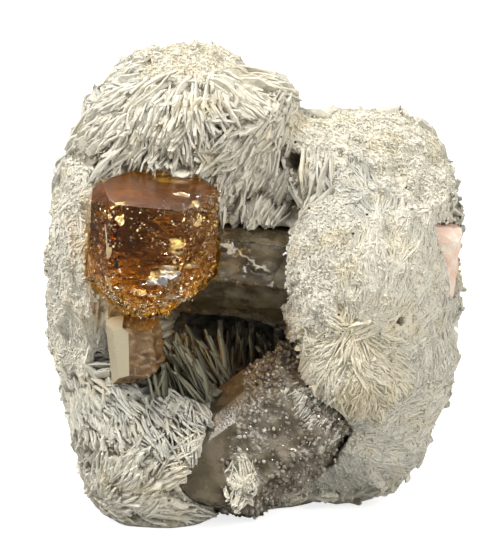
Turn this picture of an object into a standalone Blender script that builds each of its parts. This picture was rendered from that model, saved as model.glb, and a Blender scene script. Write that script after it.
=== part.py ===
"""A hand specimen: a sherry topaz crystal on white bladed albite with smoky quartz.

The frame has +X to the viewer's right, +Y away from the viewer and +Z up. The origin is the
middle of the specimen's box on the surface it stands on. Lengths below are in millimetres.
"""

import math
import random

import bmesh
import bpy
from mathutils import Euler, Matrix, Vector, noise
from mathutils.bvhtree import BVHTree

MM = 0.001
GAP = 0.32
CLEAR = 80.0

# Rounded masses of the albite matrix: centre x, y, z, then radii x, y, z.
MASSES = {
    "crest": ((-10.0, 7.6, 53.2), (15.5, 11.4, 14.0)),
    "crest_left_knob": ((-19.0, 4.4, 54.0), (6.0, 7.6, 8.5)),
    "crest_brow": ((-8.0, 0.6, 56.5), (11.5, 6.2, 6.4)),
    "crest_right_knob": ((0.5, 4.0, 57.0), (6.5, 8.0, 6.5)),
    "right_shoulder": ((16.0, 7.0, 45.8), (13.4, 11.0, 12.5)),
    "shoulder_knob": ((24.6, 3.5, 44.2), (5.6, 7.5, 8.2)),
    "saddle": ((7.5, 5.5, 49.5), (7.0, 8.0, 8.5)),
    "left_wall": ((-23.6, 3.0, 33.0), (6.8, 11.5, 22.6)),
    "left_foot": ((-13.7, -1.0, 8.6), (12.8, 13.7, 14.0)),
    "left_foot_knob": ((-22.0, -4.0, 14.5), (5.5, 6.5, 9.0)),
    "right_foot": ((14.2, 2.9, 12.2), (12.5, 11.6, 12.9)),
    "foot_bridge": ((2.0, 4.0, 7.5), (16.0, 10.0, 10.0)),
    "mound": ((15.9, -4.5, 33.4), (11.8, 12.2, 15.8)),
    "mound_skirt": ((15.0, -6.5, 23.0), (9.0, 9.5, 9.5)),
    "right_flank": ((23.5, 3.5, 29.0), (6.5, 12.0, 21.5)),
    "core": ((0.0, 9.0, 30.0), (24.0, 10.0, 29.0)),
}
MASS_VOXEL = 1.1
MASS_SMOOTHING = 5
MASS_FACES = 3600
STONE_FACES = 8100
WEATHERING = 1.1
BASE_LEVEL = -1.2
WEATHERING_SIZE = 6.5

# The pocket between the masses, and the undercut below the mound's left edge.
POCKET_CENTRE = (-4.4, -7.0, 24.4)
POCKET_RADII = (11.8, 14.0, 7.6)
POCKET_LEAN = 14.0
CRUST_INSET = 0.5
CRUST_THICKNESS = 1.4
CRUST_FRONT = -8.0
CRUST_ROOF_FRONT = 2.5
CRUST_SIDES = 24.6
CRUST_FACES = 900

# Faces of a crystal: compass azimuth from +X, elevation above the horizon, distance from centre.
TOPAZ_PLACE = (-13.4, -10.4, 48.6)
TOPAZ_LEAN = (9.0, 4.0, 2.0)
TOPAZ_FACES = (
    (0.0, 90.0, 0.0),
    (180.5, 0.0, 9.45),
    (207.0, 0.0, 9.25),
    (266.5, 0.0, 7.95),
    (322.5, 0.0, 8.0),
    (358.5, 0.0, 8.75),
    (32.0, 0.0, 9.75),
    (91.0, 0.0, 8.1),
    (135.0, 0.0, 9.2),
    (190.0, 44.0, 5.6),
    (215.0, 48.0, 5.95),
    (345.0, 36.0, 6.6),
    (30.0, 42.0, 6.15),
    (140.0, 40.0, 6.1),
    (95.0, 50.0, 5.0),
    (205.0, -47.0, 16.2),
    (250.0, -38.0, 16.2),
    (300.0, -42.0, 15.4),
    (345.0, -44.0, 14.6),
    (30.0, -40.0, 17.2),
    (115.0, -35.0, 15.4),
    (270.0, -78.0, 18.1),
)
STUB_PLACE = (-16.8, -10.6, 26.6)
STUB_LEAN = (-4.0, -6.0, 0.0)
STUB_FACES = (
    (200.0, 0.0, 3.5),
    (232.0, 2.0, 3.3),
    (285.0, -3.0, 3.1),
    (340.0, 0.0, 3.3),
    (45.0, 0.0, 3.6),
    (120.0, 0.0, 3.4),
    (215.0, 52.0, 3.9),
    (300.0, 58.0, 3.2),
    (75.0, 62.0, 3.6),
    (260.0, -66.0, 5.3),
    (10.0, -58.0, 4.7),
)
BACK_QUARTZ_PLACE = (-0.8, 0.2, 35.0)
BACK_QUARTZ_LEAN = (0.0, 6.0, -5.0)
BACK_QUARTZ_FACES = (
    (270.0, 24.0, 7.0),
    (270.0, -38.0, 6.6),
    (270.0, -82.0, 7.4),
    (90.0, 8.0, 6.0),
    (90.0, -50.0, 6.4),
    (270.0, 78.0, 6.3),
    (182.0, 6.0, 9.4),
    (225.0, -30.0, 10.2),
    (358.0, 4.0, 10.6),
    (320.0, 34.0, 10.4),
    (232.0, 34.0, 9.6),
)
FRONT_QUARTZ_PLACE = (0.6, -6.6, 11.6)
FRONT_QUARTZ_LEAN = (0.0, -36.0, 4.0)
FRONT_QUARTZ_FACES = (
    (270.0, 12.0, 6.6),
    (270.0, -46.0, 8.6),
    (270.0, 47.0, 7.6),
    (262.0, 72.0, 8.0),
    (90.0, 60.0, 8.6),
    (90.0, 0.0, 6.2),
    (180.0, -8.0, 12.4),
    (212.0, -34.0, 11.6),
    (240.0, 4.0, 11.7),
    (0.0, -6.0, 12.2),
    (330.0, 24.0, 11.6),
    (300.0, -55.0, 10.2),
    (90.0, -80.0, 9.6),
)
SPAR_PLACE = (26.3, -1.2, 36.4)
SPAR_LEAN = (0.0, 8.0, 12.0)
SPAR_FACES = (
    (0.0, 0.0, 2.7),
    (180.0, 0.0, 2.8),
    (270.0, 0.0, 4.6),
    (90.0, 0.0, 4.2),
    (0.0, 90.0, 5.8),
    (0.0, -90.0, 5.6),
    (315.0, 0.0, 4.4),
    (290.0, 45.0, 6.2),
    (330.0, -48.0, 5.9),
)

# Fans of albite blades. A fan faces out of the stone; its blades run away from its middle.
# Facing azimuth and elevation, middle x, y, z, sweep from and to, reach from and to, blades.
FANS = (
    ((270, 8), (-15.0, 0.0, 63.0), (192, 250), (3.5, 15.0), 13),
    ((270, 8), (-11.0, 0.0, 62.5), (252, 286), (4.0, 14.0), 10),
    ((270, 8), (3.0, 0.0, 59.0), (218, 262), (4.0, 16.0), 13),
    ((270, 8), (9.5, 0.0, 54.5), (250, 340), (3.0, 8.0), 7),
    ((270, 20), (21.0, 0.0, 52.5), (150, 380), (3.0, 9.0), 10),
    ((270, 0), (14.2, 0.0, 27.5), (52, 108), (6.0, 19.0), 13),
    ((270, 0), (14.2, 0.0, 27.5), (118, 178), (4.0, 10.0), 7),
    ((270, 0), (14.2, 0.0, 28.0), (226, 318), (3.0, 11.0), 12),
    ((250, 0), (-24.0, 0.0, 44.0), (235, 300), (3.0, 14.0), 9),
    ((270, 0), (-23.0, 0.0, 2.0), (8, 82), (5.0, 17.0), 14),
    ((265, 0), (-24.5, 0.0, 24.0), (285, 345), (3.0, 9.0), 6),
    ((270, 0), (14.0, 0.0, 9.5), (275, 395), (4.0, 13.0), 9),
    ((300, 0), (24.0, 0.0, 31.0), (235, 305), (3.0, 15.0), 8),
    ((300, 0), (24.0, 0.0, 31.0), (60, 120), (3.0, 11.0), 5),
    ((0, 10), (0.0, 6.0, 46.0), (0, 360), (3.0, 11.0), 12),
    ((0, 0), (0.0, 5.0, 27.0), (0, 360), (3.0, 11.0), 12),
    ((0, 0), (0.0, 5.0, 11.0), (0, 180), (3.0, 9.0), 8),
    ((180, 0), (0.0, 4.0, 30.0), (0, 360), (3.0, 11.0), 13),
    ((180, 0), (0.0, 4.0, 12.0), (0, 180), (3.0, 10.0), 8),
    ((180, 5), (0.0, 6.0, 52.0), (0, 360), (3.0, 11.0), 12),
    ((90, 5), (-11.0, 0.0, 52.0), (0, 360), (3.0, 13.0), 18),
    ((90, 5), (14.0, 0.0, 46.0), (0, 360), (3.0, 12.0), 16),
    ((90, 0), (13.0, 0.0, 22.0), (0, 360), (3.0, 13.0), 16),
    ((90, 0), (-13.0, 0.0, 26.0), (0, 360), (3.0, 13.0), 16),
    ((90, 0), (0.0, 0.0, 9.0), (0, 180), (3.0, 12.0), 11),
    ((200, 80), (-11.0, 7.0, 0.0), (0, 360), (2.0, 12.0), 22),
    ((340, 75), (16.0, 7.0, 0.0), (0, 360), (2.0, 11.0), 18),
    ((270, 30), (-8.0, 0.0, 60.0), (20, 160), (2.0, 9.0), 12),
)
BLADE_LENGTH = (4.8, 8.4)
BLADE_WIDTH = (1.0, 1.7)
BLADE_PROUD = (0.8, 1.4)
BLADE_ROOT = 1.6
BLADE_VOXEL = 0.38
# Blades of the pocket: foot x, y, z from the pocket's centre, lean to the left, length.
POCKET_BLADES = (
    ((-9.4, -3.5, -7.5), 0.50, 9.0),
    ((-8.4, 1.5, -8.0), 0.30, 10.5),
    ((-7.2, -5.0, -8.0), 0.60, 10.0),
    ((-6.6, 4.0, -8.0), 0.20, 9.0),
    ((-5.4, -2.0, -8.0), 0.45, 11.0),
    ((-4.4, -6.0, -8.0), 0.62, 10.0),
    ((-3.4, 5.5, -8.0), 0.15, 8.5),
    ((-3.0, -3.6, -8.0), 0.55, 8.0),
    ((-0.6, 8.6, -7.0), 0.00, 10.5),
    ((1.6, 9.4, -6.0), -0.08, 9.0),
    ((4.4, 8.2, -6.0), 0.05, 9.5),
    ((7.0, 6.6, -6.0), -0.10, 9.0),
)

# Surface of each node: material name, colour, roughness, transmission.
SURFACES = {
    "albite_matrix": ("albite", (0.80, 0.78, 0.72, 1.0), 0.9, 0.0),
    "topaz_crystal": ("topaz", (0.74, 0.33, 0.10, 1.0), 0.12, 0.8),
    "topaz_stub": ("frosted_topaz", (0.70, 0.46, 0.27, 1.0), 0.5, 0.2),
    "back_quartz": ("smoky_quartz", (0.42, 0.37, 0.30, 1.0), 0.2, 0.5),
    "front_quartz": ("drusy_quartz", (0.40, 0.34, 0.30, 1.0), 0.4, 0.2),
    "pink_feldspar": ("feldspar", (0.80, 0.60, 0.50, 1.0), 0.7, 0.0),
    "pocket_crust": ("grey_albite", (0.45, 0.46, 0.40, 1.0), 0.8, 0.0),
}


def clear_scene():
    for obj in list(bpy.data.objects):
        bpy.data.objects.remove(obj)


def point(x, y, z):
    return Vector((x, y, z)) * MM


def direction(azimuth, elevation):
    around = math.radians(azimuth)
    up = math.radians(elevation)
    return Vector((math.cos(around) * math.cos(up), math.sin(around) * math.cos(up), math.sin(up)))


def finish(name, colour, roughness, transmission=0.0):
    material = bpy.data.materials.new(name)
    material.use_nodes = True
    shader = material.node_tree.nodes["Principled BSDF"]
    shader.inputs["Base Color"].default_value = colour
    shader.inputs["Roughness"].default_value = roughness
    shader.inputs["Metallic"].default_value = 0.0
    shader.inputs["Transmission Weight"].default_value = transmission
    return material


def add_object(name, bm):
    mesh = bpy.data.meshes.new(name)
    bm.to_mesh(mesh)
    bm.free()
    obj = bpy.data.objects.new(name, mesh)
    bpy.context.scene.collection.objects.link(obj)
    return obj


def settle(obj):
    """Replaces the object's mesh by what its modifiers make of it."""
    bpy.context.view_layer.update()
    graph = bpy.context.evaluated_depsgraph_get()
    mesh = bpy.data.meshes.new_from_object(obj.evaluated_get(graph))
    obj.modifiers.clear()
    obj.data = mesh
    return obj


def combine(obj, other, operation):
    """Joins another solid to this one, or cuts it away, and removes the other."""
    boolean = obj.modifiers.new(other.name, "BOOLEAN")
    boolean.object = other
    boolean.operation = operation
    boolean.solver = "EXACT"
    boolean.use_self = operation == "UNION"
    settle(obj)
    bpy.data.objects.remove(other)
    return obj


def fuse(obj, voxel):
    """Makes one skin round all that the object holds, on a grid this fine."""
    skin = obj.modifiers.new("skin", "REMESH")
    skin.mode = "VOXEL"
    skin.voxel_size = voxel * MM
    return settle(obj)


def grow_on(stone, blades):
    """Fuses the blades with the stone they stand on into one skin."""
    bm = bmesh.new()
    bm.from_mesh(stone.data)
    bm.from_mesh(blades.data)
    bm.to_mesh(stone.data)
    bm.free()
    bpy.data.objects.remove(blades)
    return fuse(stone, BLADE_VOXEL)


def keep_largest_body(obj):
    """Drops the crumbs that a cut leaves loose, so that the solid is one body."""
    bm = bmesh.new()
    bm.from_mesh(obj.data)
    unseen = set(bm.verts)
    bodies = []
    while unseen:
        stack = [unseen.pop()]
        body = list(stack)
        while stack:
            for edge in stack.pop().link_edges:
                for vert in edge.verts:
                    if vert in unseen:
                        unseen.remove(vert)
                        stack.append(vert)
                        body.append(vert)
        bodies.append(body)
    bodies.sort(key=len)
    crumbs = [vert for body in bodies[:-1] for vert in body]
    bmesh.ops.delete(bm, geom=crumbs, context="VERTS")
    bm.to_mesh(obj.data)
    bm.free()


def crystal(name, faces, place, lean, gap=0.0):
    """A solid bounded by flat faces, cut from a block one face at a time."""
    bm = bmesh.new()
    bmesh.ops.create_cube(bm, size=CLEAR * MM)
    for azimuth, elevation, distance in faces:
        outward = direction(azimuth, elevation)
        bmesh.ops.bisect_plane(
            bm,
            geom=bm.verts[:] + bm.edges[:] + bm.faces[:],
            dist=1e-7,
            plane_co=outward * (distance + gap) * MM,
            plane_no=outward,
            clear_outer=True,
        )
        rim = [edge for edge in bm.edges if edge.is_boundary]
        if rim:
            bmesh.ops.contextual_create(bm, geom=rim)
    bmesh.ops.remove_doubles(bm, verts=bm.verts, dist=2e-5)
    bmesh.ops.recalc_face_normals(bm, faces=bm.faces)
    turn = Euler([math.radians(angle) for angle in lean]).to_matrix().to_4x4()
    bmesh.ops.transform(bm, matrix=Matrix.Translation(point(*place)) @ turn, verts=bm.verts)
    return add_object(name, bm)


def weather(bm, size, depth, seed):
    """Moves each point in or out along its normal by a soft noise."""
    offset = Vector((seed * 7.3, seed * 3.1, seed * 5.7))
    bm.normal_update()
    moves = []
    for vert in bm.verts:
        where = vert.co / (size * MM) + offset
        amount = noise.noise(where) + 0.5 * noise.noise(where * 2.1)
        moves.append(vert.normal * amount * depth * MM)
    for vert, move in zip(bm.verts, moves):
        vert.co += move


def ball(bm, centre, radii, lean=0.0, subdivisions=4):
    matrix = (
        Matrix.Translation(point(*centre))
        @ Matrix.Rotation(math.radians(lean), 4, "Y")
        @ Matrix.Diagonal(Vector(radii) * MM).to_4x4()
    )
    bmesh.ops.create_icosphere(bm, subdivisions=subdivisions, radius=1.0, matrix=matrix)


def thin_out(obj, faces):
    """Brings the object down to about this many triangles, the least telling first."""
    obj.data.calc_loop_triangles()
    thin = obj.modifiers.new("thin", "DECIMATE")
    thin.ratio = faces / len(obj.data.loop_triangles)
    return settle(obj)


def make_masses():
    """The matrix before anything grew in it: overlapping masses fused into one lumpy stone."""
    bm = bmesh.new()
    for centre, radii in MASSES.values():
        ball(bm, centre, radii)
    stone = fuse(add_object("albite_matrix", bm), MASS_VOXEL)
    soften = stone.modifiers.new("soften", "SMOOTH")
    soften.iterations = MASS_SMOOTHING
    settle(stone)
    bm = bmesh.new()
    bm.from_mesh(stone.data)
    weather(bm, WEATHERING_SIZE, WEATHERING, 1)
    bm.to_mesh(stone.data)
    bm.free()
    return thin_out(stone, MASS_FACES)


def pocket(name, inset):
    """The hollow in the front of the stone, or the same form drawn in by an inset."""
    bm = bmesh.new()
    radii = [radius - inset for radius in POCKET_RADII]
    ball(bm, POCKET_CENTRE, radii, POCKET_LEAN, 3)
    return add_object(name, bm)


def blade(bm, start, end, low, high, width, proud, sink):
    """A thin plate on edge between two points, buried at its foot and rising to a chisel tip."""
    along = (end - start).normalized()
    across = along.cross(low + high).normalized() * width * MM / 2
    foot = low * sink * MM
    root = high * sink * MM
    rise = high * proud * MM
    tip = end + along * width * MM * 0.9
    corners = [
        start - across - foot,
        start + across - foot,
        start + across + rise * 0.15,
        start - across + rise * 0.15,
        end - across - root,
        end + across - root,
        end + across * 0.8 + rise,
        end - across * 0.8 + rise,
        tip - root * 0.6,
        tip + rise * 0.6,
    ]
    verts = [bm.verts.new(corner) for corner in corners]
    for face in (
        (0, 1, 2, 3),
        (0, 4, 5, 1),
        (1, 5, 6, 2),
        (2, 6, 7, 3),
        (3, 7, 4, 0),
        (4, 8, 5),
        (5, 8, 9, 6),
        (6, 9, 7),
        (7, 9, 8, 4),
    ):
        bm.faces.new([verts[i] for i in face])


def fan_blades(stone):
    """Every fan's blades, stood on the stone where a line from outside meets it."""
    skin = bmesh.new()
    skin.from_mesh(stone.data)
    tree = BVHTree.FromBMesh(skin)
    skin.free()
    bm = bmesh.new()
    draw = random.Random(5)
    for facing, middle, sweep, reach, count in FANS:
        outward = direction(*facing)
        level = Vector((0.0, 0.0, 1.0)).cross(outward).normalized()
        up = outward.cross(level)
        for i in range(count):
            share = (i + draw.uniform(0.2, 0.8)) / count
            turn = math.radians(sweep[0] + (sweep[1] - sweep[0]) * share)
            away = level * math.cos(turn) + up * math.sin(turn)
            distance = reach[0] + (reach[1] - reach[0]) * ((i * 0.618) % 1.0)
            seen_from = point(*middle) + (away * distance + outward * CLEAR) * MM
            foot, normal, _, _ = tree.ray_cast(seen_from, -outward)
            if foot is None or normal.dot(outward) < 0.15:
                continue
            half = (away - normal * away.dot(normal)).normalized()
            half *= draw.uniform(*BLADE_LENGTH) * MM / 2
            start, low, _, _ = tree.find_nearest(foot - half)
            end, high, _, _ = tree.find_nearest(foot + half)
            if low.dot(high) < 0.3:
                continue
            width = draw.uniform(*BLADE_WIDTH)
            blade(bm, start, end, low, high, width, draw.uniform(*BLADE_PROUD), BLADE_ROOT)
    bmesh.ops.recalc_face_normals(bm, faces=bm.faces)
    return add_object("blades", bm)


def block(name, low, high):
    """A box given by its two corners."""
    bm = bmesh.new()
    middle = (Vector(low) + Vector(high)) / 2
    size = Vector(high) - Vector(low)
    matrix = Matrix.Translation(middle * MM) @ Matrix.Diagonal(size * MM).to_4x4()
    bmesh.ops.create_cube(bm, size=1.0, matrix=matrix)
    return add_object(name, bm)


def make_pocket_crust():
    """The lining of the hollow: a thin crust with slender blades standing out of its floor."""
    lining = pocket("pocket_crust", CRUST_INSET)
    combine(lining, pocket("inside", CRUST_INSET + CRUST_THICKNESS), "DIFFERENCE")
    for name, low, high in (
        ("front", (-CLEAR, -CLEAR, -CLEAR), (CLEAR, CRUST_FRONT, CLEAR)),
        ("roof", (-CLEAR, -CLEAR, CRUST_SIDES), (CLEAR, CRUST_ROOF_FRONT, CLEAR)),
    ):
        combine(lining, block(name, low, high), "DIFFERENCE")
    bm = bmesh.new()
    for foot, lean, length in POCKET_BLADES:
        along = Vector((-lean, -0.15, 1.0)).normalized()
        out = (Vector((0.0, -1.0, 0.0)) + along * along.y).normalized()
        start = (Vector(POCKET_CENTRE) + Vector(foot)) * MM
        blade(bm, start, start + along * length * MM, out, out, 1.0, 0.6, 0.6)
    bmesh.ops.recalc_face_normals(bm, faces=bm.faces)
    blades = fuse(add_object("pocket_blades", bm), BLADE_VOXEL)
    combine(blades, pocket("reach", CRUST_INSET + 0.2), "INTERSECT")
    for piece in (lining, blades):
        open_round(piece, ("topaz_crystal", "topaz_stub", "back_quartz", "front_quartz"), CRUST_INSET)
    grow_on(lining, blades)
    keep_largest_body(lining)
    return thin_out(lining, CRUST_FACES)


CRYSTALS = {
    "topaz_crystal": (TOPAZ_FACES, TOPAZ_PLACE, TOPAZ_LEAN),
    "topaz_stub": (STUB_FACES, STUB_PLACE, STUB_LEAN),
    "back_quartz": (BACK_QUARTZ_FACES, BACK_QUARTZ_PLACE, BACK_QUARTZ_LEAN),
    "front_quartz": (FRONT_QUARTZ_FACES, FRONT_QUARTZ_PLACE, FRONT_QUARTZ_LEAN),
    "pink_feldspar": (SPAR_FACES, SPAR_PLACE, SPAR_LEAN),
}


def open_round(piece, names, gap):
    """Opens the piece round each crystal named, which grew before it, with the gap between."""
    for name in names:
        combine(piece, crystal(name + "_socket", *CRYSTALS[name], gap), "DIFFERENCE")


def stand_on_base(piece):
    """Takes away what reaches below the flat base."""
    below = block("below", (-CLEAR, -CLEAR, -CLEAR), (CLEAR, CLEAR, BASE_LEVEL))
    combine(piece, below, "DIFFERENCE")


def centre_all(pieces):
    """Moves the specimen so that the middle of its box is over the origin."""
    corners = [vert.co for piece in pieces for vert in piece.data.vertices]
    low = Vector([min(corner[axis] for corner in corners) for axis in range(3)])
    high = Vector([max(corner[axis] for corner in corners) for axis in range(3)])
    shift = Vector((-(low.x + high.x) / 2, -(low.y + high.y) / 2, -low.z))
    for piece in pieces:
        piece.data.transform(Matrix.Translation(shift))


def main():
    clear_scene()
    stone = make_masses()
    grow_on(stone, fan_blades(stone))
    thin_out(stone, STONE_FACES)
    combine(stone, pocket("hollow", 0.0), "DIFFERENCE")
    pieces = []
    grown = []
    for name, shape in CRYSTALS.items():
        piece = crystal(name, *shape)
        open_round(piece, grown, GAP)
        grown.append(name)
        pieces.append(piece)
    open_round(stone, grown, GAP)
    pieces += [stone, make_pocket_crust()]
    for piece in pieces:
        keep_largest_body(piece)
        stand_on_base(piece)
        piece.data.materials.clear()
        piece.data.materials.append(finish(*SURFACES[piece.name]))
    centre_all(pieces)


main()
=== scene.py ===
import math

import bmesh
import bpy
import numpy as np
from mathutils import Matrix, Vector, noise
from mathutils.bvhtree import BVHTree


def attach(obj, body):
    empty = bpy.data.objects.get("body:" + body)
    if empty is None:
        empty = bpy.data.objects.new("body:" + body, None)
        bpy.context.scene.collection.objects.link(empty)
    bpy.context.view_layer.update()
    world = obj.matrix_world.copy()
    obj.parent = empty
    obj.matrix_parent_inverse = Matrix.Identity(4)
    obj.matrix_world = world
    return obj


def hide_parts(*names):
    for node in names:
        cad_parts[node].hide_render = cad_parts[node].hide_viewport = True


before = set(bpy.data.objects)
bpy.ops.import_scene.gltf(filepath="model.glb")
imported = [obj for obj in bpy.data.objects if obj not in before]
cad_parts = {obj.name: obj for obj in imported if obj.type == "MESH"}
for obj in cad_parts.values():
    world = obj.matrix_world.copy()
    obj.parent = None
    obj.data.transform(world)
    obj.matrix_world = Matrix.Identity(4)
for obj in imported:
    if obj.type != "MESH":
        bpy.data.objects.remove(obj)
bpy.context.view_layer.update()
MM = 0.001

# The albite matrix: white, sugary to bladed, grown as rounded masses. The skin is the ground that
# the blades stand on: the CAD solid on a fine grid, drawn in so that the blades' tips reach the solid.
SKIN_VOXEL = 0.46
SKIN_SMOOTHING = 6
SKIN_CLOSE = 0.14
SEARCH_REACH = 6.0
CRYSTAL_NODES = ("topaz_crystal", "topaz_stub", "back_quartz", "front_quartz", "pink_feldspar")


def add_mesh(name, verts, faces):
    """A flat-shaded mesh from arrays of points in metres and of faces with the same number of corners."""
    mesh = bpy.data.meshes.new(name)
    corners = faces.shape[1]
    mesh.vertices.add(len(verts))
    mesh.vertices.foreach_set("co", verts.astype(np.float32).ravel())
    mesh.loops.add(faces.size)
    mesh.loops.foreach_set("vertex_index", faces.astype(np.int32).ravel())
    mesh.polygons.add(len(faces))
    mesh.polygons.foreach_set("loop_start", np.arange(0, faces.size, corners, dtype=np.int32))
    mesh.update(calc_edges=True)
    mesh.validate()
    mesh.shade_flat()
    piece = bpy.data.objects.new(name, mesh)
    bpy.context.scene.collection.objects.link(piece)
    return piece


def points_of(mesh):
    points = np.empty(len(mesh.vertices) * 3, np.float32)
    mesh.vertices.foreach_get("co", points)
    return points.reshape(-1, 3).astype(float)


def normals_of(mesh):
    normals = np.empty(len(mesh.vertices) * 3, np.float32)
    mesh.vertex_normals.foreach_get("vector", normals)
    return normals.reshape(-1, 3).astype(float)


def move_points(mesh, points):
    mesh.vertices.foreach_set("co", points.astype(np.float32).ravel())
    mesh.update()


def copy_of(node, name):
    """A new object with its own copy of a CAD node's mesh."""
    piece = bpy.data.objects.new(name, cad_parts[node].data.copy())
    piece.data.materials.clear()
    bpy.context.scene.collection.objects.link(piece)
    return piece


def bake_modifiers(piece):
    bpy.context.view_layer.update()
    graph = bpy.context.evaluated_depsgraph_get()
    piece.data = bpy.data.meshes.new_from_object(piece.evaluated_get(graph))
    piece.modifiers.clear()


def search_tree(mesh):
    bm = bmesh.new()
    bm.from_mesh(mesh)
    tree = BVHTree.FromBMesh(bm)
    bm.free()
    return tree


def distance_to(trees, points):
    """How far each point is from the nearest of some surfaces, up to the search's reach."""
    reach = SEARCH_REACH * MM
    return np.array([
        min(tree.find_nearest(Vector(row), reach)[3] or reach for tree in trees)
        for row in points
    ])


def smooth_step(low, high, values):
    share = np.clip((values - low) / (high - low), 0.0, 1.0)
    return share * share * (3 - 2 * share)


def soft_noise(points, size, seed):
    """Smooth noise between about -1 and 1 at each point, with lumps of this size in millimetres."""
    scaled = points / (size * MM) + np.array((seed * 5.3, seed * 2.7, seed * 8.1))
    return np.array([noise.noise(Vector(row)) for row in scaled])


skin = copy_of("albite_matrix", "matrix_skin")
regrid = skin.modifiers.new("regrid", "REMESH")
regrid.mode = "VOXEL"
regrid.voxel_size = SKIN_VOXEL * MM
even = skin.modifiers.new("even", "SMOOTH")
even.iterations = SKIN_SMOOTHING
bake_modifiers(skin)
crystal_trees = [search_tree(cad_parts[name].data) for name in CRYSTAL_NODES]
skin_points = points_of(skin.data)
skin_normals = normals_of(skin.data)
to_crystal = distance_to(crystal_trees, skin_points)

# The blades of the matrix: thin plates of albite on edge, in sheaves that fan out from many centres
# and lift off the skin towards their tips. Some fans are coarse like feathers, some fine as hair, and
# sugary stretches carry grains. Each kind: length, width and height from and to, blades in a sheaf,
# how many layers deep they lie, spread of angle in a sheaf and between sheaves, how far the tips lift,
# how far the skin is drawn in below them, and grains in a square mm.
BLADE_KINDS = {
    "feather": ((3.0, 6.4), (0.28, 0.62), (0.75, 1.45), (3, 9), 3.2, 5.0, 24.0, 0.50, 0.85, 0.8),
    "rosette": ((2.4, 5.2), (0.26, 0.56), (0.60, 1.25), (3, 8), 2.6, 6.0, 30.0, 0.45, 0.80, 0.8),
    "fine": ((1.8, 4.2), (0.20, 0.40), (0.25, 0.60), (3, 8), 2.0, 6.0, 22.0, 0.30, 0.45, 1.0),
    "hair": ((1.2, 3.6), (0.17, 0.36), (0.08, 0.30), (2, 7), 1.5, 7.0, 16.0, 0.20, 0.22, 2.2),
    "plate": ((0.8, 2.4), (0.20, 0.46), (0.08, 0.28), (1, 4), 0.9, 18.0, 34.0, 0.15, 0.20, 2.8),
    "sugar": ((0.5, 1.3), (0.22, 0.44), (0.10, 0.30), (1, 3), 0.30, 60.0, 90.0, 0.20, 0.24, 4.4),
    "coarse": ((2.8, 5.4), (0.45, 0.95), (0.70, 1.25), (3, 6), 1.7, 8.0, 34.0, 0.40, 0.75, 0.5),
}
LENGTH, WIDTH, HEIGHT, SHEAF, LAYERS, SINGLE, CLUMP, LIFT, INSET, GRAINS = range(10)
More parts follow.
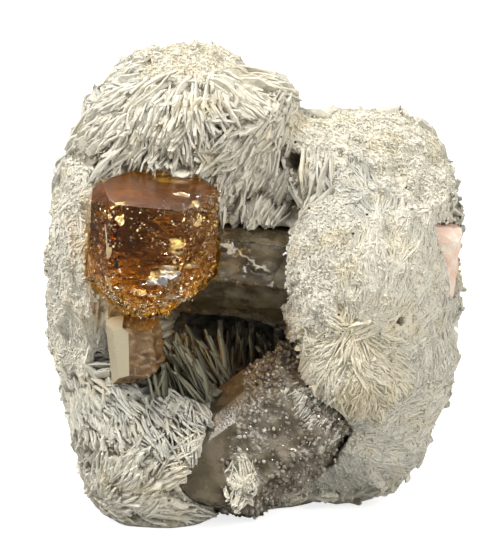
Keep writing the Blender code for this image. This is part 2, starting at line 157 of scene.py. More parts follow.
# Each fan: its middle, the place its blades run away from, its pull on its surroundings, its kind
# and its tone (0 grey, 0.5 white, 1 yellow). Crest and shoulder first, then mound, walls and feet.
FANS = (
    ((-9.0, 3.0, 67.0), (-9.0, 6.0, 70.0), 1.3, "sugar", 0.65),
    ((-17.8, -3.9, 58.6), (-9.4, 0.3, 67.0), 1.0, "feather", 0.50),
    ((-13.4, -5.7, 56.0), (-10.5, -1.0, 66.0), 1.0, "feather", 0.50),
    ((-9.1, -6.2, 57.5), (-9.6, -1.0, 67.0), 1.0, "feather", 0.50),
    ((-22.2, -3.3, 55.6), (-12.0, -1.0, 64.0), 1.0, "feather", 0.45),
    ((-5.6, -5.7, 60.3), (-8.0, 0.0, 67.0), 1.0, "feather", 0.55),
    ((-1.3, -3.0, 62.1), (-8.0, 2.0, 66.0), 1.0, "feather", 0.60),
    ((-3.4, -5.2, 54.5), (5.0, -3.0, 59.5), 1.0, "feather", 0.50),
    ((0.9, -2.6, 52.6), (6.0, -2.7, 60.0), 1.0, "feather", 0.50),
    ((-5.6, -3.5, 49.8), (2.0, -4.0, 60.0), 1.0, "feather", 0.42),
    ((3.0, -3.2, 58.5), (4.0, 2.0, 62.0), 0.7, "feather", 0.60),
    ((4.5, -2.7, 51.2), (9.0, -2.0, 60.0), 1.0, "feather", 0.42),
    ((8.1, -1.7, 55.4), (10.0, 4.0, 58.0), 0.8, "sugar", 0.60),
    ((13.9, -0.6, 56.7), (14.0, 6.0, 58.0), 1.0, "sugar", 0.60),
    ((21.1, -2.8, 54.1), (20.0, 4.0, 58.0), 1.0, "sugar", 0.60),
    ((25.4, -3.3, 49.8), (22.0, 2.0, 58.0), 0.9, "sugar", 0.55),
    ((15.0, -8.5, 50.4), (17.0, -12.0, 40.0), 0.8, "hair", 0.28),
    ((9.3, -12.1, 45.6), (12.0, -14.0, 38.0), 0.9, "sugar", 0.40),
    ((6.5, -12.7, 39.9), (12.0, -16.0, 38.0), 0.8, "sugar", 0.50),
    ((6.5, -13.2, 31.3), (12.0, -16.0, 34.0), 0.8, "sugar", 0.52),
    ((10.6, -15.7, 40.5), (11.0, -16.0, 30.0), 0.8, "sugar", 0.50),
    ((16.2, -17.0, 40.8), (13.8, -16.6, 27.0), 0.9, "hair", 0.55),
    ((20.5, -15.3, 40.5), (14.0, -16.0, 26.0), 0.9, "hair", 0.55),
    ((24.9, -11.4, 42.6), (15.0, -14.0, 26.0), 0.9, "hair", 0.50),
    ((17.7, -17.2, 33.0), (13.8, -16.6, 27.5), 0.8, "hair", 0.65),
    ((24.0, -12.5, 31.0), (14.0, -14.0, 27.0), 0.9, "hair", 0.45),
    ((13.8, -16.6, 27.5), (13.8, -16.6, 30.5), 0.8, "fine", 0.78),
    ((10.7, -16.4, 24.8), (13.8, -16.6, 30.5), 0.8, "fine", 0.68),
    ((15.0, -16.8, 22.0), (13.8, -16.6, 30.5), 0.8, "fine", 0.83),
    ((18.5, -15.6, 26.1), (13.8, -16.6, 30.5), 0.8, "fine", 0.73),
    ((27.7, -6.9, 28.4), (24.0, -8.0, 48.0), 1.0, "hair", 0.40),
    ((-25.7, -5.6, 47.3), (-20.0, -3.0, 66.0), 1.0, "plate", 0.50),
    ((-28.0, -6.6, 38.7), (-24.0, -4.0, 62.0), 1.0, "plate", 0.45),
    ((-28.3, -4.9, 26.4), (-25.0, -4.0, 50.0), 1.0, "plate", 0.45),
    ((-27.7, -4.8, 17.4), (-30.0, 0.0, 28.0), 1.0, "rosette", 0.45),
    ((-23.7, -11.0, 16.0), (-29.0, -6.0, 23.0), 1.0, "rosette", 0.38),
    ((-19.3, -11.0, 19.0), (-26.0, -8.0, 25.0), 0.9, "rosette", 0.22),
    ((-14.9, -13.1, 18.1), (-20.0, -8.0, 26.0), 0.9, "rosette", 0.18),
    ((-10.7, -9.0, 20.0), (-14.0, -6.0, 30.0), 0.9, "rosette", 0.15),
    ((-25.4, -7.9, 10.6), (-27.0, -4.0, 0.0), 1.0, "rosette", 0.48),
    ((-22.2, -12.6, 9.0), (-24.0, -8.0, -1.0), 1.0, "rosette", 0.52),
    ((-16.3, -15.6, 8.4), (-25.0, -10.0, 0.0), 1.0, "rosette", 0.50),
    ((-12.1, -13.6, 4.8), (-25.0, -8.0, 1.0), 1.0, "rosette", 0.50),
    ((-19.5, -11.5, 1.9), (-26.0, -8.0, 1.0), 0.8, "rosette", 0.50),
    ((14.0, -9.5, 8.1), (8.0, -12.0, 15.0), 1.0, "hair", 0.30),
    ((21.4, -7.4, 7.5), (8.0, -10.0, 15.0), 1.0, "hair", 0.34),
    ((25.9, -4.9, 12.8), (12.0, -8.0, 12.0), 1.0, "hair", 0.40),
)
# Gaps between the sheaves that run deep, and are painted dark with shade: middle, radius and depth.
HOLLOWS = (
    ((5.8, -3.2, 52.7), 1.9, 3.4),
    ((3.0, -2.0, 51.8), 1.3, 2.0),
    ((-13.0, -5.0, 60.2), 0.8, 1.8),
    ((-17.6, -3.6, 60.5), 0.6, 1.4),
    ((-12.0, -6.0, 58.2), 0.7, 1.7),
    ((-7.0, -5.6, 61.0), 1.1, 1.6),
    ((-5.2, -6.2, 58.4), 0.9, 1.5),
    ((-14.9, -4.8, 52.7), 1.0, 1.6),
    ((-12.3, -5.6, 53.1), 0.9, 1.7),
    ((-10.0, -6.0, 53.6), 0.8, 1.7),
    ((-3.7, -5.5, 54.2), 0.9, 1.5),
    ((-0.9, -2.6, 46.6), 1.2, 1.8),
    ((4.6, -2.2, 46.4), 1.5, 2.6),
    ((20.8, -16.5, 31.8), 0.8, 3.2),
    ((8.5, 3.4, 58.6), 0.9, 1.8),
    ((12.4, -3.7, 54.3), 1.0, 1.4),
    ((13.6, -10.6, 49.7), 0.9, 1.0),
    ((17.2, -9.3, 49.4), 0.8, 1.2),
    ((14.1, -17.7, 36.7), 0.9, 1.0),
    ((14.3, -17.1, 31.8), 0.8, 0.9),
    ((-22.2, -10.1, 21.7), 1.1, 1.8),
    ((-22.3, -8.1, 24.6), 1.0, 1.8),
    ((-23.5, -10.3, 11.4), 1.0, 1.8),
    ((-19.9, -14.2, 11.7), 0.9, 1.6),
    ((-15.0, -10.4, 20.6), 1.2, 1.8),
    ((-18.5, -13.6, 15.3), 0.8, 1.4),
    ((-12.0, -14.8, 14.1), 0.9, 1.4),
    ((-9.0, -14.6, 8.4), 0.9, 1.5),
    ((-11.8, -15.2, 6.4), 0.8, 1.3),
    ((13.2, -10.6, 12.6), 2.0, 3.0),
    ((11.2, -11.6, 11.2), 1.5, 2.4),
)
# Painted shade in the wall behind the topaz, which shows through the crystal: middle, and the radii where it
# ends and is darkest.
PAINTED_SHADE_BEHIND_TOPAZ = ((-15.0, -4.0, 43.5), 6.5, 3.0)
# The back and sides have coarse fans, set at random and at least this far apart.
OTHER_FAN_SPACING = 9.5
OTHER_FAN_TRIES = 4000
OTHER_FAN_PULL = 0.8
GRAIN_LENGTH = (0.25, 0.65)
GRAIN_WIDTH = (0.2, 0.45)
GRAIN_HEIGHT = (0.12, 0.4)
ROOT_DEPTH = 0.7
BLADES_IN_PIECE = 6400
GRAINS_IN_PIECE = 19000
# A form: how far along each section is, and its height and width there, as shares.
LONG_FORM = ((0.0, 0.30, 0.58, 0.82, 1.0), (0.30, 0.75, 0.95, 1.0, 0.74), (0.85, 1.0, 1.0, 0.95, 0.62))
GRAIN_FORM = ((0.0, 1.0), (0.9, 0.75), (1.0, 0.72))


def unit(vectors):
    return vectors / np.maximum(np.linalg.norm(vectors, axis=-1, keepdims=True), 1e-12)


def nearest_on(tree, points):
    """For each point, the nearest point of a surface and the way that the surface faces there."""
    found = [tree.find_nearest(Vector(row)) for row in points]
    return np.array([hit[0] for hit in found]), np.array([hit[1] for hit in found])


def turned(along, side, degrees):
    angle = np.radians(degrees)[:, None]
    return along * np.cos(angle) + side * np.sin(angle)


draw = np.random.default_rng(7)
fans = list(FANS)
shuffled = draw.permutation(len(skin_points))
middles = np.array([fan[0] for fan in fans]) * MM
for index in shuffled[:OTHER_FAN_TRIES]:
    here = skin_points[index]
    if np.linalg.norm(middles - here, axis=1).min() > OTHER_FAN_SPACING * MM:
        middles = np.vstack((middles, here))
        source = here / MM + 5.0 * draw.standard_normal(3)
        fans.append((here / MM, source, OTHER_FAN_PULL, "coarse", 0.35 + 0.3 * draw.random()))
sources = np.array([fan[1] for fan in fans]) * MM
pulls = np.array([fan[2] for fan in fans])
kinds = [BLADE_KINDS[fan[3]] for fan in fans]
tones = np.array([fan[4] for fan in fans])
waver = np.stack([soft_noise(skin_points, 4.0, seed) for seed in (3, 4, 5)], axis=1) * 2.2 * MM
fan_of = (np.linalg.norm((skin_points + waver)[:, None, :] - middles[None], axis=2) / pulls).argmin(axis=1)


def of_kind(column, fan):
    """What the kind of each fan says in this column."""
    return np.array([kind[column] for kind in kinds])[fan]


# The skin is drawn in below the blades, but not beside the crystals and not at the flat base.
draw_in = smooth_step(0.5 * MM, 2.2 * MM, to_crystal) * smooth_step(0.2 * MM, 1.2 * MM, skin_points[:, 2])
lumps = soft_noise(skin_points, 2.2, 1) * 0.35 + soft_noise(skin_points, 0.9, 2) * 0.20
hollow = np.zeros(len(skin_points))
for middle, radius, depth in HOLLOWS:
    apart = np.linalg.norm(skin_points / MM - np.array(middle), axis=1) + 0.5 * lumps
    hollow = np.maximum(hollow, depth * smooth_step(radius, radius * 0.35, apart))
offset = SKIN_CLOSE - (of_kind(INSET, fan_of) + SKIN_CLOSE - lumps + hollow) * draw_in
skin_points += skin_normals * offset[:, None] * MM
move_points(skin.data, skin_points)
skin.data.shade_flat()
skin_normals = normals_of(skin.data)
skin_tree = search_tree(skin.data)


def blade_shapes(foot, end, out, end_out, width, height, lift, roll, form):
    """Plates on edge from foot to end: the corners of each one's sections, and how high they stand."""
    along = unit(end - foot)
    bow = draw.uniform(-0.08, 0.08, len(foot)) * np.linalg.norm(end - foot, axis=1)
    slant = draw.uniform(-0.9, 0.9, len(foot)) * width
    rows, levels = [], []
    for share, tall, wide in zip(*form):
        facing = unit(out * (1 - share) + end_out * share)
        across = unit(np.cross(along, facing))
        facing, across = turned(facing, -across, roll), turned(across, facing, roll)
        rough = np.clip(1 + 0.16 * draw.standard_normal((2, len(foot))), 0.6, 1.4)
        aside = bow * math.sin(math.pi * share) + 0.06 * width * draw.standard_normal(len(foot))
        line = foot + (end - foot) * share + across * aside[:, None]
        top = height * tall * rough[0]
        under = -ROOT_DEPTH * MM * (1 - share**2) + (lift * height - 0.3 * MM) * share**2
        half = across * (width / 2 * wide * rough[1])[:, None]
        shift = along * (slant * (share == 1.0))[:, None]
        for hand, level, ahead in ((-1, under, 0), (-0.72, top, 1), (0.72, top, -1), (1, under, 0)):
            rows.append(line + half * hand + facing * level[:, None] + shift * ahead)
            levels.append(np.maximum(level, 0) / height)
    return np.stack(rows, axis=1), np.stack(levels, axis=1)


def shape_faces(sections, blades):
    """The faces of plates with this many sections: sides, top and both ends."""
    sides = [
        (4 * s + b, 4 * s + a, 4 * s + 4 + a, 4 * s + 4 + b)
        for s in range(sections - 1) for a, b in ((0, 1), (1, 2), (2, 3))
    ]
    last = 4 * sections - 4
    faces = np.array(sides + [(0, 1, 2, 3), (last + 3, last + 2, last + 1, last)])
    return (faces[None] + 4 * sections * np.arange(blades)[:, None, None]).reshape(-1, 4)


def paint(piece, level, shade, tone):
    """Stores how high on its blade each point is, the blade's own shade and its tone, as one colour."""
    colour = piece.data.color_attributes.new("growth", "FLOAT_COLOR", "POINT")
    values = np.stack((level, shade, tone, np.ones_like(level)), axis=-1)
    colour.data.foreach_set("color", values.astype(np.float32).ravel())


def blade_piece(name, shapes, shade, tone, ground):
    """One mesh of plates. The ground is how pale their feet are painted, from 0 to 1: below 1, their feet
    carry painted shade.
    """
    points, levels = shapes
    corners = points.shape[1]
    piece = add_mesh(name, points.reshape(-1, 3), shape_faces(corners // 4, len(points)))
    level = ground[:, None] + (1 - ground[:, None]) * np.clip(levels / 0.85, 0, 1)
    paint(piece, level.ravel(), np.repeat(shade, corners), np.repeat(tone, corners))
    return piece


def between(pairs):
    return pairs[:, 0] + (pairs[:, 1] - pairs[:, 0]) * draw.random(len(pairs))


# Painted shade at blade feet: the deeper a kind draws the skin in below it, the darker its feet are painted.
def unshaded_feet(fan):
    return 1 - 0.8 * smooth_step(0.10, 0.85, of_kind(INSET, fan))


cell_area = sum(face.area for face in skin.data.polygons) / MM**2 / len(skin_points)
open_ground = (skin_points[:, 2] > 0.8 * MM) & (to_crystal > 0.55 * MM)
sheaf_area = np.array([np.mean(k[LENGTH]) * np.mean(k[WIDTH]) * np.mean(k[SHEAF]) for k in kinds])
chance = np.array([kind[LAYERS] for kind in kinds]) * cell_area / sheaf_area
sheaves = np.flatnonzero(open_ground & (draw.random(len(skin_points)) < chance[fan_of]))
fan = fan_of[sheaves]
out = skin_normals[sheaves]
away = skin_points[sheaves] - sources[fan]
along = unit(away - out * (away * out).sum(axis=1, keepdims=True))
clump = of_kind(CLUMP, fan)
swing = clump * 1.5 * soft_noise(skin_points[sheaves], 2.8, 8) + clump * 0.35 * draw.standard_normal(len(fan))
along = turned(along, np.cross(along, out), swing)
blades_in = draw.integers(of_kind(SHEAF, fan)[:, 0], of_kind(SHEAF, fan)[:, 1] + 1)
sheaf_length = between(of_kind(LENGTH, fan)) * MM
sheaf_lift = of_kind(LIFT, fan) * draw.uniform(0.2, 1.6, len(fan))
sheaf_roll = 16.0 * draw.standard_normal(len(fan))
sheaf_shade = draw.random(len(fan))

own = np.repeat(np.arange(len(fan)), blades_in)
row = np.arange(len(own)) - np.repeat(np.cumsum(blades_in) - blades_in, blades_in)
row = row - (blades_in[own] - 1) / 2
fan = fan[own]
length = sheaf_length[own] * np.clip(1 + 0.2 * draw.standard_normal(len(own)), 0.5, 1.5)
width = between(of_kind(WIDTH, fan)) * MM
height = between(of_kind(HEIGHT, fan)) * MM
pitch = of_kind(WIDTH, fan).mean(axis=1) * 1.12 * MM
side = np.cross(along, out)[own]
along = turned(along[own], side, of_kind(SINGLE, fan) * draw.standard_normal(len(own)))
back = length * (0.5 + 0.12 * draw.standard_normal(len(own)))
foot = skin_points[sheaves][own] + side * (row * pitch)[:, None] - along * back[:, None]
foot, out = nearest_on(skin_tree, foot)
end, end_out = nearest_on(skin_tree, foot + along * length[:, None])
# Left out: blades that bend too far round an edge, run below the base or reach a crystal.
fits = ((end_out * out).sum(axis=1) > 0.25) & (np.minimum(end[:, 2], foot[:, 2]) > 0.5 * MM)
fits &= (distance_to(crystal_trees, end) > 0.35 * MM) & (distance_to(crystal_trees, foot) > 0.2 * MM)
fits &= np.linalg.norm(end - foot, axis=1) > 0.3 * length
foot, end, out, end_out, fan, own = foot[fits], end[fits], out[fits], end_out[fits], fan[fits], own[fits]
roll = sheaf_roll[own] + 9.0 * draw.standard_normal(len(own))
shade = np.clip(sheaf_shade[own] + 0.18 * draw.standard_normal(len(own)), 0, 1)
tone = np.clip(tones[fan] + 0.06 * draw.standard_normal(len(own)), 0, 1)
plates = blade_shapes(foot, end, out, end_out, width[fits], height[fits], sheaf_lift[own], roll, LONG_FORM)

crumbs = draw.random(len(skin_points)) < of_kind(GRAINS, fan_of) * cell_area
crumbs = np.flatnonzero(open_ground & crumbs)
grain_out = skin_normals[crumbs]
any_way = np.cross(grain_out, draw.standard_normal((len(crumbs), 3)))
grain_end = skin_points[crumbs] + unit(any_way) * draw.uniform(*GRAIN_LENGTH, (len(crumbs), 1)) * MM
grain_width = draw.uniform(*GRAIN_WIDTH, len(crumbs)) * MM
grain_height = draw.uniform(*GRAIN_HEIGHT, len(crumbs)) * MM
grain_roll = 25.0 * draw.standard_normal(len(crumbs))
grains = blade_shapes(
    skin_points[crumbs], grain_end, grain_out, grain_out,
    grain_width, grain_height, 0.2, grain_roll, GRAIN_FORM,
)

REGION_NAMES = ("crest", "mound", "foot", "wall", "back")


def region_of(points):
    """The number of the stretch of the matrix that each point lies in."""
    x, y, z = (points / MM).T
    return np.where(y > 2, 4, np.where(z > 47, 0, np.where(z < 21, 2, np.where(x < 0, 3, 1))))


matrix_pieces = [skin]
for number, name in enumerate(REGION_NAMES):
    chosen = np.flatnonzero(region_of(foot) == number)
    for part, begin in enumerate(range(0, len(chosen), BLADES_IN_PIECE), start=1):
        some = chosen[begin:begin + BLADES_IN_PIECE]
        shapes = (plates[0][some], plates[1][some])
        matrix_pieces.append(
            blade_piece(f"{name}_blades_{part}", shapes, shade[some], tone[some], unshaded_feet(fan[some]))
        )
    some = np.flatnonzero(region_of(skin_points[crumbs]) == number)[:GRAINS_IN_PIECE]
    grain_fan = fan_of[crumbs[some]]
    shapes = (grains[0][some], grains[1][some])
    grain_ground = np.maximum(unshaded_feet(grain_fan), 0.35)
    matrix_pieces.append(
        blade_piece(f"{name}_grains", shapes, draw.random(len(some)), tones[grain_fan], grain_ground)
    )
# Painted shade beside the crystals: the skin there is mottled dark, like a contact shadow round each crystal,
# and darkest in the wall seen through the topaz.
mottled_painted_shade = 0.45 + 0.5 * soft_noise(skin_points, 1.6, 9) + 0.4 * soft_noise(skin_points, 0.7, 10)
# Painted shade on the skin: darker where it is drawn in below deep-set blades and in the hollows, lighter on
# its lumps.
skin_level = unshaded_feet(fan_of) * 0.9 + 0.5 * lumps - 0.45 * hollow
dark_middle, dark_end, dark_core = PAINTED_SHADE_BEHIND_TOPAZ
from_dark = np.linalg.norm(skin_points / MM - np.array(dark_middle), axis=1)
mottled_painted_shade -= 0.8 * smooth_step(dark_end, dark_core, from_dark)
skin_level = skin_level * draw_in + mottled_painted_shade * (1 - draw_in)
paint(skin, np.clip(skin_level, 0.0, 1.0), 0.5 + 0.5 * soft_noise(skin_points, 0.6, 6), tones[fan_of])


def put(tree, kind, inputs=None, **settings):
    """Adds a node. An input is a value, or another node's output to link."""
    made = tree.nodes.new("ShaderNode" + kind)
    for name, value in settings.items():
        setattr(made, name, value)
    for socket, value in (inputs or {}).items():
        if isinstance(value, bpy.types.NodeSocket):
            tree.links.new(value, made.inputs[socket])
        else:
            made.inputs[socket].default_value = value
    return made


def new_material(name):
    material = bpy.data.materials.new(name)
    material.use_nodes = True
    material.node_tree.nodes.clear()
    return material, material.node_tree


def in_mm(tree):
    """The place on the piece, in millimetres."""
    place = put(tree, "TexCoord").outputs["Object"]
    return put(tree, "VectorMath", {0: place, "Scale": 1000.0}, operation="SCALE").outputs[0]


def ramp(tree, value, *stops):
    """A colour ramp: each stop is a position and a grey value or a colour."""
    made = put(tree, "ValToRGB", {0: value})
    band = made.color_ramp.elements
    while len(band) < len(stops):
        band.new(1.0)
    for element, (position, colour) in zip(band, stops):
        element.position = position
        element.color = (colour,) * 3 + (1.0,) if isinstance(colour, float) else (*colour, 1.0)
    return made.outputs["Color"]


def noise_at(tree, place, scale, detail=3.0, output="Fac"):
    return put(tree, "TexNoise", {"Vector": place, "Scale": scale, "Detail": detail}).outputs[output]


def blend_colour(tree, share, first, second, blend_type="MIX"):
    made = put(tree, "Mix", {0: share, 6: first, 7: second}, data_type="RGBA", blend_type=blend_type)
    return made.outputs[2]


def arithmetic(tree, operation, first, second):
    return put(tree, "Math", {0: first, 1: second}, operation=operation).outputs[0]


def bumped(tree, strength, distance, height):
    return put(tree, "Bump", {"Strength": strength, "Distance": distance, "Height": height}).outputs[0]


def growth_parts(tree):
    """How high on its blade a point is, the blade's own shade and its tone, as paint() stored them."""
    growth = put(tree, "Attribute", attribute_name="growth").outputs["Color"]
    return put(tree, "SeparateColor", {0: growth}).outputs


def finish_material(tree, shader, volume=None):
    output = put(tree, "OutputMaterial", {"Surface": shader})
    if volume:
        tree.links.new(volume, output.inputs["Volume"])


# The first colour is painted shade: the dark olive given to the albite's blade feet, recesses and hollows.
PAINTED_SHADE_OLIVE = (0.16, 0.135, 0.085, 1.0)
ALBITE_GREY = (0.57, 0.56, 0.50, 1.0)
ALBITE_WHITE = (0.80, 0.77, 0.67, 1.0)
ALBITE_YELLOW = (0.80, 0.70, 0.48, 1.0)

albite, tree = new_material("albite")
place = in_mm(tree)
level, own_shade, tone = growth_parts(tree)
stain = noise_at(tree, place, 0.22, 4.0)
grain = noise_at(tree, place, 2.6, 4.0)
fine_grain = noise_at(tree, place, 7.0, 2.0)
grey_or_white = blend_colour(tree, ramp(tree, tone, (0.2, 0.0), (0.5, 1.0)), ALBITE_GREY, ALBITE_WHITE)
body = blend_colour(tree, ramp(tree, tone, (0.55, 0.0), (0.95, 0.75)), grey_or_white, ALBITE_YELLOW)
body = blend_colour(tree, ramp(tree, stain, (0.52, 0.0), (0.72, 0.5)), body, ALBITE_YELLOW)
# Painted shade: the lower a point is painted, at a blade's foot or in a recess of the skin, the more its
# colour turns to a dark olive shade.
uneven = arithmetic(tree, "MULTIPLY", arithmetic(tree, "SUBTRACT", grain, 0.5), 0.7)
depth = arithmetic(tree, "ADD", level, uneven)
body = blend_colour(tree, ramp(tree, depth, (0.02, 0.0), (0.62, 1.0)), PAINTED_SHADE_OLIVE, body)
darker = arithmetic(tree, "ADD", arithmetic(tree, "MULTIPLY", own_shade, 0.22), 0.80)
grey = put(tree, "CombineColor", {0: darker, 1: darker, 2: darker}).outputs[0]
body = blend_colour(tree, 1.0, body, grey, "MULTIPLY")
specks = put(tree, "TexVoronoi", {"Vector": place, "Scale": 0.5})
of_speck = put(tree, "SeparateColor", {0: specks.outputs["Color"]}).outputs[0]
few = ramp(tree, of_speck, (0.84, 0.0), (0.85, 1.0))
spot = ramp(tree, specks.outputs["Distance"], (0.085, 1.0), (0.115, 0.0))
body = blend_colour(tree, arithmetic(tree, "MULTIPLY", few, spot), body, (0.03, 0.03, 0.028, 1.0))
height = arithmetic(tree, "ADD", grain, fine_grain)
principled = put(tree, "BsdfPrincipled", {
    "Base Color": body,
    "Roughness": ramp(tree, fine_grain, (0.3, 0.42), (0.7, 0.75)),
    "Specular IOR Level": 0.45,
    "Normal": bumped(tree, 0.8, 0.22 * MM, height),
})
finish_material(tree, principled.outputs[0])
for piece in matrix_pieces:
    piece.data.materials.append(albite)
    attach(piece, "root")
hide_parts("albite_matrix")

# The sherry topaz: one clear, flat-topped crystal. Its top and the left of its front are smooth; its
# right side and its lower end are etched into ridges. Open cracks inside it flash white.
ETCH_DEPTH = 1.5
ETCH_STEP = 0.34
ETCH_LOOK = 1.4


def finely_cut(node, name, cuts, finest):
    """A copy of a faceted node, its edges cut in half down to finest mm. Its own edges stay crisp."""
    piece = copy_of(node, name)
    bm = bmesh.new()
    bm.from_mesh(piece.data)
    bmesh.ops.remove_doubles(bm, verts=bm.verts, dist=1e-6)
    bmesh.ops.dissolve_limit(bm, angle_limit=0.01, verts=bm.verts, edges=bm.edges)
    bmesh.ops.triangulate(bm, faces=bm.faces)
    for _ in range(cuts):
        longest = max(edge.calc_length() for edge in bm.edges)
        limit = max(longest * 0.5, finest * MM)
        long_edges = [edge for edge in bm.edges if edge.calc_length() > limit]
        bmesh.ops.subdivide_edges(bm, edges=long_edges, cuts=1)
        bmesh.ops.triangulate(bm, faces=[face for face in bm.faces if len(face.verts) > 3])
    bm.to_mesh(piece.data)
    bm.free()
    piece.data.shade_smooth()
    piece.data.set_sharp_from_angle(angle=math.radians(30))
    return piece


def etch(piece, depth, step, size, where, seed):
    """Sinks the faces by wavy steps of this depth, in mm. The share for each point is from where()."""
    points = points_of(piece.data)
    normals = normals_of(piece.data)
    waves = soft_noise(points * np.array((1.0, 1.0, 1.8)), size, seed)
    waves += 0.6 * soft_noise(points, size * 0.4, seed + 1)
    sunk = np.clip(waves * 0.6 + 0.5, 0, 1) * depth * where(points / MM, normals)
    stepped = np.floor(sunk / step) * step + 0.4 * (sunk % step)
    move_points(piece.data, points - normals * stepped[:, None] * MM)
    piece.data.set_sharp_from_angle(angle=math.radians(30))


def topaz_etching(at_mm, facing):
    right = smooth_step(0.35, 0.8, facing[:, 0]) * smooth_step(-14.0, -9.0, at_mm[:, 0])
    lower = smooth_step(0.25, 0.6, -facing[:, 2])
    low_down = smooth_step(40.0, 35.0, at_mm[:, 2])
    not_top = smooth_step(0.75, 0.5, facing[:, 2])
    return np.clip(0.02 + 0.6 * right + lower + 0.4 * low_down, 0, 1) * not_top


def crumpled_sheet(centre, facing, radii, crumple, seed, rings=7, spokes=20):
    """An open crack: a thin sheet, ragged at its rim and crumpled. Points in millimetres, and faces."""
    facing = Vector(facing).normalized()
    first = facing.cross(Vector((0, 0, 1))).normalized()
    second = first.cross(facing)
    verts, faces = [], []
    for ring in range(rings + 1):
        for spoke in range(spokes):
            turn = math.tau * spoke / spokes
            rim = 0.8 + 0.5 * noise.noise(Vector((math.cos(turn) * 1.6, math.sin(turn) * 1.6, seed * 3.1)))
            reach = rim * ring / rings
            flat = first * math.cos(turn) * reach * radii[0] + second * math.sin(turn) * reach * radii[1]
            at = Vector(centre) + flat
            bends = noise.noise(at * 0.6 + Vector((seed, 0, 0)))
            creases = noise.noise(at * 2.6 + Vector((seed, 5, 0)))
            verts.append(at + facing * (bends + 0.35 * creases) * crumple)
    for ring in range(rings):
        for spoke in range(spokes):
            a, b = ring * spokes + spoke, ring * spokes + (spoke + 1) % spokes
            faces.append((a, b, b + spokes, a + spokes))
    return np.array(verts), np.array(faces)


# Cracks: a place on the topaz, how deep below it, way the crack faces, half width and half height, and
# how crumpled it is. Flakes of crack are strewn below the etched faces in front of FLAKES_FROM. They
# face halfway between the key light and the eye, as both are bent inside the crystal.
CRACKS = (
    ((-12.2, -17.8, 39.2), 0.25, (-0.34, -0.90, 0.26), (2.2, 1.0), 0.7),
    ((-14.0, -17.8, 38.0), 0.25, (-0.34, -0.90, 0.26), (1.8, 0.8), 0.6),
    ((-13.2, -17.8, 38.6), 0.5, (-0.36, -0.88, 0.30), (2.4, 1.3), 0.9),
    ((-11.2, -17.6, 40.2), 0.5, (-0.34, -0.88, 0.32), (1.0, 0.5), 0.6),
    ((-9.2, -15.6, 39.6), 0.6, (-0.25, -0.88, 0.36), (1.7, 0.4), 0.7),
    ((-18.6, -17.9, 46.6), 2.4, (-0.31, -0.80, 0.50), (0.8, 1.2), 1.0),
    ((-8.0, -14.4, 45.8), 1.2, (0.10, -0.75, 0.60), (1.0, 1.3), 1.3),
    ((-10.6, -16.8, 43.0), 1.8, (-0.10, -0.75, 0.62), (1.3, 1.2), 1.5),
    ((-12.6, -17.4, 35.4), 0.6, (-0.10, -0.60, 0.80), (2.4, 0.4), 0.7),
    ((-15.8, -17.4, 35.8), 0.6, (-0.40, -0.70, 0.55), (1.1, 0.6), 0.7),
    ((-10.0, -12.5, 51.0), 0.8, (-0.10, -0.20, 0.97), (1.6, 1.0), 0.6),
)
FLAKES = 1500
FLAKE_DEPTH = (0.06, 1.6)
FLAKE_SIZE = (0.05, 0.26)
FLAKE_FACING = (-0.34, -0.90, 0.26)
FLAKES_FROM = -9.0
BLACK_SPOT = (-19.2, -17.2, 40.3)
# Albite blades on the topaz's lower front and left: foot, end, width and height, all in millimetres.
TOPAZ_BLADES = (
    ((-11.8, -16.0, 33.6), (-11.0, -18.2, 39.2), 0.22, 0.24),
    ((-11.3, -17.0, 37.6), (-12.4, -18.0, 38.6), 0.12, 0.14),
    ((-11.1, -17.0, 38.0), (-10.2, -18.0, 38.6), 0.12, 0.14),
    ((-9.4, -15.2, 32.6), (-9.0, -16.6, 35.4), 0.24, 0.28),
    ((-20.9, -17.3, 45.9), (-20.3, -17.6, 42.6), 0.14, 0.10),
    ((-20.4, -17.5, 42.8), (-20.1, -17.6, 41.2), 0.22, 0.12),
    ((-19.9, -17.4, 36.2), (-21.0, -17.2, 38.6), 0.16, 0.20),
)

topaz = finely_cut("topaz_crystal", "topaz_body", cuts=12, finest=0.2)
etch(topaz, ETCH_DEPTH, ETCH_STEP, 2.4, topaz_etching, 11)
topaz_tree = search_tree(topaz.data)

sheets = []
for seed, (place, deep, facing, radii, crumple) in enumerate(CRACKS):
    on_face, out, _, _ = topaz_tree.find_nearest(Vector(place) * MM)
    sheets.append(crumpled_sheet(on_face / MM - out * deep, facing, radii, crumple, seed))
face_points = points_of(topaz.data)
face_normals = normals_of(topaz.data)
etched = topaz_etching(face_points / MM, face_normals) + 0.22
etched *= (face_points[:, 1] < FLAKES_FROM * MM) & (face_normals[:, 2] < 0.7)
for seed, index in enumerate(draw.choice(len(face_points), FLAKES, replace=False, p=etched / etched.sum())):
    deep = FLAKE_DEPTH[0] + (FLAKE_DEPTH[1] - FLAKE_DEPTH[0]) * draw.random() ** 1.6
    place = face_points[index] / MM - face_normals[index] * deep
    size = draw.uniform(*FLAKE_SIZE, 2)
    facing = draw.normal(size=3) * 0.3 + FLAKE_FACING
    sheets.append(crumpled_sheet(place, facing, size, 0.3, 20 + seed, 2, 7))
before = np.cumsum([0] + [len(verts) for verts, _ in sheets])
cracks = add_mesh(
    "topaz_cracks",
    np.concatenate([verts for verts, _ in sheets]) * MM,
    np.concatenate([faces + start for start, (_, faces) in zip(before, sheets)]),
)
cracks.data.shade_smooth()
spot_points, spot_faces = crumpled_sheet(BLACK_SPOT, (-0.5, -0.9, 0.0), (0.55, 0.75), 0.2, 5)
spot = add_mesh("topaz_spot", spot_points * MM, spot_faces)


